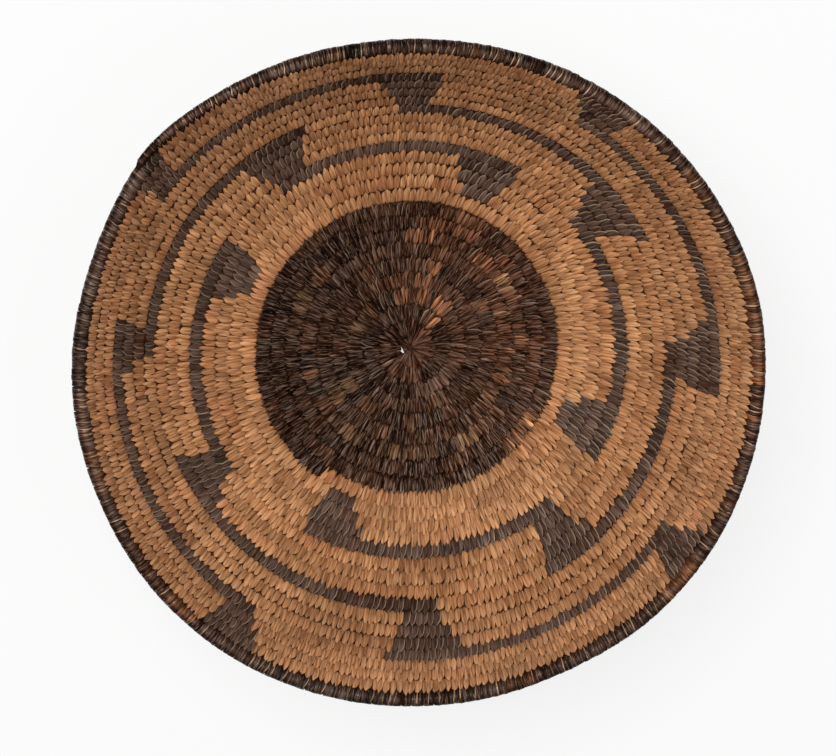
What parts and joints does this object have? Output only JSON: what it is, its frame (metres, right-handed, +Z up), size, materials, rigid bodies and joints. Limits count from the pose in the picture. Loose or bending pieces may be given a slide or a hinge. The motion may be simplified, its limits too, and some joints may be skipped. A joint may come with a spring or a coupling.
{
  "type": "coiled basket tray",
  "caption": "Shallow round tray: a spiral rod coil sewn row to row, dark in the middle and on the rim, with dark stepped arms whirling out over a willow wall.",
  "frame": {"origin": "the middle of the tray's box, on the surface that it rests on", "axes": "+Z up through the open bowl, +X the widest way across the rim, which is the picture's right, and +Y the picture's top"},
  "size_m": [0.3202, 0.3142, 0.0867],
  "materials": {
    "dark_sewing": "satin dark brown-black split plant fibre",
    "willow_sewing": "satin aged willow, golden brown",
    "foundation_rods": "matte peeled rod"
  },
  "bodies": {
    "root": {"start_knot": "dark_sewing", "dark_middle": "dark_sewing", "first_willow_row": "willow_sewing", "willow_field_1": "willow_sewing", "willow_field_2": "willow_sewing", "willow_field_3": "willow_sewing", "willow_field_4": "willow_sewing", "dark_arm_1": "dark_sewing", "dark_arm_2": "dark_sewing", "dark_arm_3": "dark_sewing", "dark_arm_4": "dark_sewing", "rim_coil": "dark_sewing", "foundation_tip": "foundation_rods"}
  },
  "joints": []
}
